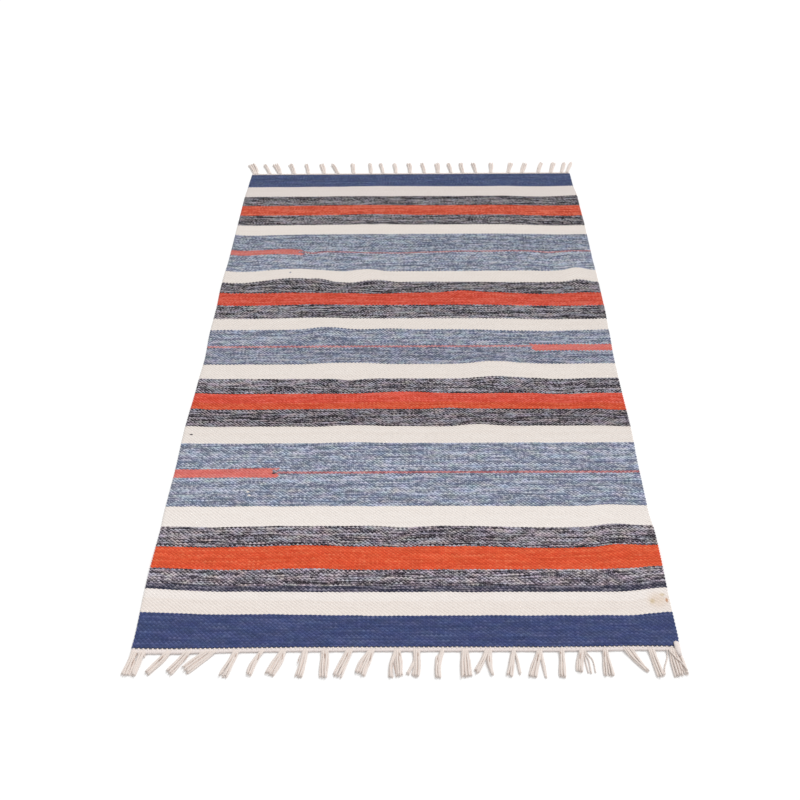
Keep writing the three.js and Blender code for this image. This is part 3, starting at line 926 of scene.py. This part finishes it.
def fringeMaterial(name, shades, flank):
    # Undyed plied warp cotton: matt, pinkish cream, with tan and brown painted shade between and down the
    # strands
    material, tree, shader = newMaterial(name, warpFinish["shader"])
    place = addNode(tree, "UVMap", {"uv_map": "strand"})
    parts = addNode(tree, "SeparateXYZ", {}, {0: place})
    along, around = parts.outputs[0], parts.outputs[1]
    turn = addNode(
        tree, "Math", {"operation": "MULTIPLY_ADD"}, {0: along, 1: 1 / warpFinish["plyTurn"], 2: around}
    )
    angle = addNode(tree, "Math", {"operation": "MULTIPLY"}, {0: turn, 1: 4 * math.pi})
    plyAndShade = addNode(tree, "Math", {"operation": "SINE"}, {0: angle})
    groove = addNode(
        tree,
        "MapRange",
        {"interpolation_type": "SMOOTHSTEP"},
        {"Value": plyAndShade, "From Min": -1.0, "From Max": warpFinish["grooveTo"], "To Min": 0.0, "To Max": 1.0},
    )
    # Round the strand: painted light on top, painted shade down its sides
    roundStrand = addNode(tree, "Math", {"operation": "MULTIPLY"}, {0: around, 1: 2 * math.pi})
    upward = addNode(tree, "Math", {"operation": "SINE"}, {0: roundStrand})
    openness = addNode(
        tree,
        "MapRange",
        {"interpolation_type": "SMOOTHSTEP"},
        {"Value": upward, "From Min": flank[0], "From Max": flank[1], "To Min": 0.0, "To Max": 1.0},
    )
    speckPlace = addNode(
        tree, "VectorMath", {"operation": "MULTIPLY"}, {0: place, 1: warpFinish["speckGrain"]}
    )
    speck = addNode(
        tree, "TexNoise", {"noise_dimensions": "2D"}, {"Vector": speckPlace, "Scale": 1.0, "Detail": 3.0}
    )
    mixed = warpFinish["least"]
    for source, share in zip((openness, groove, speck), warpFinish["shares"]):
        mixed = addNode(tree, "Math", {"operation": "MULTIPLY_ADD"}, {0: source, 1: share, 2: mixed})
    ramp = addNode(tree, "ValToRGB", {}, {0: mixed})
    ramp.color_ramp.elements.new(0.5)
    for stop, at, hexText in zip(ramp.color_ramp.elements, warpFinish["shadeStops"], shades):
        stop.position, stop.color = at, linearColour(hexText)
    tree.links.new(ramp.outputs[0], shader.inputs["Base Color"])
    heightSum = addNode(tree, "Math", {"operation": "MULTIPLY_ADD"}, {0: speck, 1: 0.5, 2: groove})
    strength, depth = warpFinish["bumpStrength"], warpFinish["bumpDepth"]
    bump = addNode(tree, "Bump", {}, {"Strength": strength, "Distance": depth, "Height": heightSum})
    tree.links.new(bump.outputs[0], shader.inputs["Normal"])
    return material


def addTube(soup, path, radius, sides, squash=1.0, lobes=(0, 0.0, 1.0), slot=0, tone=None):
    # A closed tube along path. lobes: how many, how deep, and in how many mm they turn once round it.
    # tone fixes the painted shade all round: 0.25 is fully lit, 0.75 fully shaded
    lobeCount, lobeDepth, lobeTurn = lobes
    path = np.asarray(path, dtype=float)
    steps = len(path)
    radius = np.broadcast_to(np.asarray(radius, dtype=float), steps)
    ahead = np.gradient(path, axis=0)
    ahead /= np.linalg.norm(ahead, axis=1)[:, None] + 1e-9
    first = len(soup["uvs"])
    side = np.cross(ahead, (0, 0, 1.0))
    side /= np.linalg.norm(side, axis=1)[:, None] + 1e-9
    up = np.cross(side, ahead)
    run = np.concatenate([[0], np.cumsum(np.linalg.norm(np.diff(path, axis=0), axis=1))])
    base = soup["count"]
    soup["slots"] += [slot] * ((steps - 1) * sides + 2 * sides)
    rings = []
    for k in range(sides):
        turn = 2 * math.pi * k / sides
        twisted = lobeCount * turn - 2 * math.pi * run / lobeTurn * lobeCount
        reach = radius * (1 + lobeDepth * np.cos(twisted))
        outward = side * (reach * math.cos(turn))[:, None]
        rings.append(path + outward + up * (reach * squash * math.sin(turn))[:, None])
    ringPoints = np.stack(rings, axis=1).reshape(-1, 3)
    soup["points"] += [ringPoints, path[:1], path[-1:]]
    startTip, endTip = base + steps * sides, base + steps * sides + 1
    soup["count"] += steps * sides + 2
    for n in range(steps - 1):
        for k in range(sides):
            m = (k + 1) % sides
            a, b = base + n * sides + k, base + n * sides + m
            soup["faces"].append((a, b, b + sides, a + sides))
            low, high = k / sides, (k + 1) / sides
            soup["uvs"] += [(run[n], low), (run[n], high), (run[n + 1], high), (run[n + 1], low)]
    # Both end caps take the top of the round, so they are in painted light
    for k in range(sides):
        m = (k + 1) % sides
        soup["faces"].append((base + m, base + k, startTip))
        soup["uvs"] += [(0, 0.25)] * 3
        end = base + (steps - 1) * sides
        soup["faces"].append((end + k, end + m, endTip))
        soup["uvs"] += [(run[-1], 0.25)] * 3
    if tone is not None:
        soup["uvs"][first:] = [(u, tone) for u, _ in soup["uvs"][first:]]


def addTufts(soup, path, count, reachMost):
    # A cut end opens into a few loose fibres
    tip, heading = path[-1], path[-1] - path[-3]
    heading = heading / np.linalg.norm(heading)
    for _ in range(count):
        flare = heading + chance.normal(0, fringe["tuftSpread"], 3) * (1, 1, 0.5)
        reach = chance.uniform(0.45, 1) * reachMost
        start = tip - heading * 1.5 + chance.normal(0, 0.7, 3)
        tuft = np.stack([start + flare * reach * s for s in (0, 0.5, 1)])
        tuft[:, 2] = np.maximum(tuft[:, 2], fringe["tuftLow"])
        # tone 0.2 keeps the fibres in painted light all round
        addTube(soup, tuft, fringe["tuftRadius"], sides=4, squash=0.8, tone=0.2)


def edgeAt(end):
    # From the field's middle to its near (-1) or far (1) end
    return abs(cloth["nearEdge"] if end < 0 else cloth["farEdge"])


def addTassel(soup, tassel, end):
    # A lower layer of ends side by side, and a shorter layer over them
    at, neck, waist, tipWide, lean, bow, long = tassel
    thick, startOut = fringe["strand"], fringe["startOut"]
    under = max(2, round(waist / fringe["endWide"]) + 1)
    over = 0 if waist < 2 * fringe["endWide"] else max(1, round(under * fringe["overShare"]))
    t = np.linspace(0, 1, 20)
    for k in range(under + over):
        top = k >= under
        n, lanes = (k - under, over) if top else (k, under)
        q = 2 * (n + 0.5) / lanes - 1 if top else 2 * n / (lanes - 1) - 1
        wobble = chance.uniform(-1, 1, 7)
        q = q + fringe["acrossScatter"] * wobble[6]
        # The ends were cut square to the way the tassel lies
        whole = math.hypot(lean, long)
        cut = long * (1 + fringe["cutScatter"] * wobble[0]) - q * (tipWide / 2) * lean / whole
        out = startOut + (fringe["cordWide"] + cut - startOut) * t
        slant = (out - fringe["cordWide"]) / long
        share = np.clip(slant, 0, 1.05)
        # An end swells out of the cord, and thins again if the tips are drawn together
        pointed, perMore = fringe["slim"]
        slim = min(1, pointed + tipWide / perMore)
        drawn, gain, by = fringe["swell"]
        radius = thick * (drawn + gain * np.clip(share / by, 0, 1)) * (1 - share * (1 - slim))
        wide = whole / long * np.interp(share, (0, fringe["waistAt"], 1), (neck, waist, tipWide))
        x = at + lean * slant + bow * np.sin(np.pi * share) + q * np.maximum(wide / 2 - radius, 0)
        # Each end snakes a little in its own way
        sway, wave = fringe["snake"]
        x += share * (sway * wobble[1] + wave * np.sin(6 * share + 3 * wobble[2]))
        stagger = fringe["stagger"] if k % 2 else 0.0
        # The lower layer rests on the floor and the upper one on it
        rest = radius + (radius * 1.3 if top else stagger * (1 - share)) + 0.4 * abs(wobble[4]) * share
        # From the cord's height down to the floor
        fall = ease(np.clip(share / fringe["fallBy"], 0, 1))
        passing = np.clip((out - startOut) / (fringe["cordWide"] + 4 - startOut), 0, 1)
        lower, upper = fringe["layers"]
        high = (upper if top else lower + 0.5 * stagger) * (0.75 + 0.25 * np.sin(0.8 * np.pi * passing))
        z = high * (1 - fall) + rest * fall
        y = end * (edgeAt(end) + fringe["seam"] + out) + float(driftAt(at, end))
        taper = radius * (1 + 0.05 * np.sin(9 * share + 4 * wobble[5]))
        taper[-1] *= 0.75
        path = np.stack([x, y, np.maximum(z, taper)], axis=1)
        addTube(soup, path, taper, sides=10, squash=0.94)
        addTufts(soup, path, count=4, reachMost=4.0)


def addLoose(soup, radius, rest, line):
    # One warp end lying apart from its tassel, or across it, at the near edge
    line = np.array(line, dtype=float)
    run = np.linspace(0, len(line) - 1, 24)
    x = np.interp(run, range(len(line)), line[:, 0])
    out = np.interp(run, range(len(line)), line[:, 1])
    for axis in (x, out):
        axis[1:-1] = (axis[:-2] + 2 * axis[1:-1] + axis[2:]) / 4
    # It comes down over the last of the cord and the next 9 mm
    fall = (fringe["cordWide"] - 1, fringe["cordWide"] + 9)
    z = np.interp(out, fall, (fringe["looseHigh"], rest))
    y = cloth["nearEdge"] - fringe["seam"] - out + float(driftAt(line[0, 0], -1))
    path = np.stack([x, y, z], axis=1)
    addTube(soup, path, radius, sides=8)
    addTufts(soup, path, count=3, reachMost=3.0)


def addHollowShadow(soup, x0, out0, x1, out1):
    # A dark strand paints the shadow in the groove between two ends
    t = np.linspace(0, 1, 6)
    y = cloth["nearEdge"] - fringe["seam"] - (out0 + (out1 - out0) * t) + float(driftAt(x0, -1))
    path = np.stack([x0 + (x1 - x0) * t, y, np.interp(t, (0, 1), fringe["hollowHigh"])], axis=1)
    radius = fringe["hollowRadius"] * np.sin(np.pi * (0.12 + 0.76 * t))
    addTube(soup, path, radius, sides=6, squash=0.8, tone=0.75)


def fringePiece(name, end, tassels, node):
    soup = {"points": [], "faces": [], "uvs": [], "slots": [], "count": 0}
    edge = edgeAt(end)
    left, right = -float(selvedgeAt(1, end * edge)), float(selvedgeAt(2, end * edge))
    # Cord of plaited warps
    x = np.arange(left + 1, right - 0.5, fringe["cordStep"])
    cell, mm = fringe["cordWander"]
    wander = mm * smoothNoise(x / cell, x * 0, 9 + end)
    fat = np.interp(x, *fringe["cordFat"]) if end < 0 else np.ones(len(x))
    middle = edge + fringe["seam"] + fringe["cordWide"] / 2 * fat - fringe["cordIn"] + wander
    cordY = end * middle + driftAt(x, end)
    path = np.stack([x, cordY, np.full(len(x), fringe["cordHigh"] / 2)], axis=1)
    thick = (fringe["cordWide"] / 2 - fringe["cordLoss"]) * fat
    addTube(soup, path, thick, sides=14, squash=0.6, lobes=fringe["cordLobes"], slot=1)
    # Each pair of warps shows as a small tooth between the last floats
    row = 0 if end < 0 else rows - 1
    for warp in range(1 - row % 2, cloth["warps"] + 1, 2):
        tx, ty = (float(v[0]) for v in clothPlace(np.array([warp * 1.0]), np.array([row * 1.0])))
        start, rise, reach = fringe["toothOut"]
        far = end * (edge + reach) + float(driftAt(tx, end))
        outs = (ty + end * start, ty + end * rise, (ty + far) / 2, far)
        tooth = [(tx, out, high) for out, high in zip(outs, fringe["toothHigh"])]
        # tone 0.2 keeps the tooth in painted light all round
        addTube(soup, tooth, fringe["toothRadius"], sides=6, squash=0.6, slot=1, tone=0.2)
    for tassel in tassels:
        addTassel(soup, tassel, end)
    if end < 0:
        for radius, rest, line in fringe["loose"]:
            addLoose(soup, radius, rest, line)
        for groove in fringe["hollowShadows"]:
            addHollowShadow(soup, *groove)
        cordEnd = np.array(fringe["cordEnd"], dtype=float)
        addTube(soup, cordEnd, fringe["cordEndRadius"], sides=12, squash=0.5, slot=1)
        addTufts(soup, cordEnd[::-1], count=6, reachMost=3.5)
    points = np.concatenate(soup["points"])
    made = meshPiece(name, points, soup["faces"], "strand", soup["uvs"], warpMaterials, soup["slots"])
    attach(made, "root")
    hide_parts(node)
    print("plaited", name, "faces", len(soup["faces"]))
    return made


warpMaterials = [
    # Shades go from painted shade to painted light round each strand; the plies' grooves also take painted
    # shade
    fringeMaterial("undyed_plied_cotton_warp", ("#C2AA9D", "#E7D9D1", "#EEE3DC"), (-0.4, 0.3)),
    # On the cord the painted shade is kept to its underside, as a dark shadow line along it
    fringeMaterial("plaited_cotton_cord", ("#A58779", "#E4D6D0", "#F2E8E4"), (-0.45, -0.05)),
]
nearFringe = fringePiece("tassels_near", -1, fringe["near"], "fringe_near")
farFringe = fringePiece("tassels_far", 1, fringe["far"], "fringe_far")
